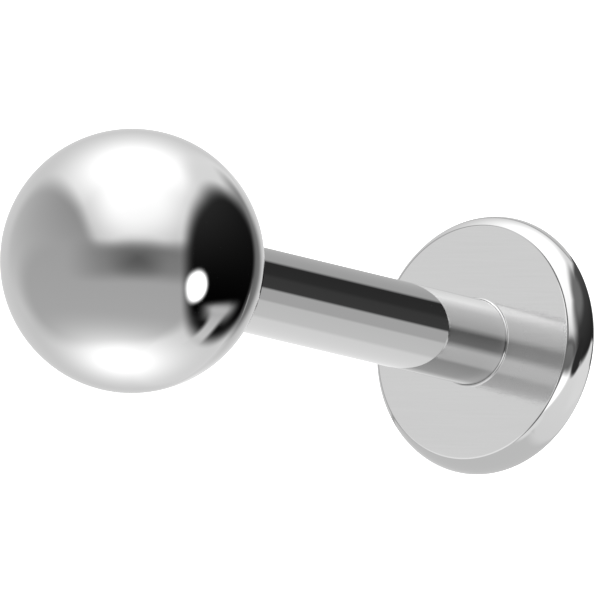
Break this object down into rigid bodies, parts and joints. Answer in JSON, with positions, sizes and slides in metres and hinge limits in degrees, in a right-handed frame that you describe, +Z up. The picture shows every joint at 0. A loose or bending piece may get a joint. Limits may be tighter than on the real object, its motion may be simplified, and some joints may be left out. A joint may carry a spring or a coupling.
{
  "type": "labret stud",
  "caption": "Body jewellery stud of polished steel: a ball that unscrews from a straight round bar, which ends in a flat round disc with a rounded rim.",
  "frame": {"origin": "under the middle of the stud's bounding box, on the surface that it lies on", "axes": "+X along the bar from the ball to the disc, +Z up, +Y completes a right-handed set"},
  "size_m": [0.0136, 0.0048, 0.0048],
  "materials": {
    "satin_steel": "surgical steel with a fine satin flat face and a mirror-polished rounded rim",
    "polished_steel": "mirror-polished surgical steel, not plated",
    "turned_steel": "surgical steel as turned, with a cut thread"
  },
  "bodies": {
    "post": {"base_disc": "satin_steel", "bar": "polished_steel"},
    "screw": {"thread_pin": "turned_steel"},
    "ball_end": {"ball": "polished_steel"}
  },
  "joints": [
    {"name": "ball_travel", "type": "slide", "parent": "post", "child": "screw", "axis": [-1, 0, 0], "range_m": [0, 0.00175]},
    {"name": "ball_turn", "type": "hinge", "parent": "screw", "child": "ball_end", "pos_m": [-0.00437, 0, 0.0024], "axis": [-1, 0, 0], "range_deg": [0, 2521]}
  ],
  "couplings": [
    {"joint": "ball_turn", "follows": "ball_travel", "rad_per_m": 25133}
  ]
}
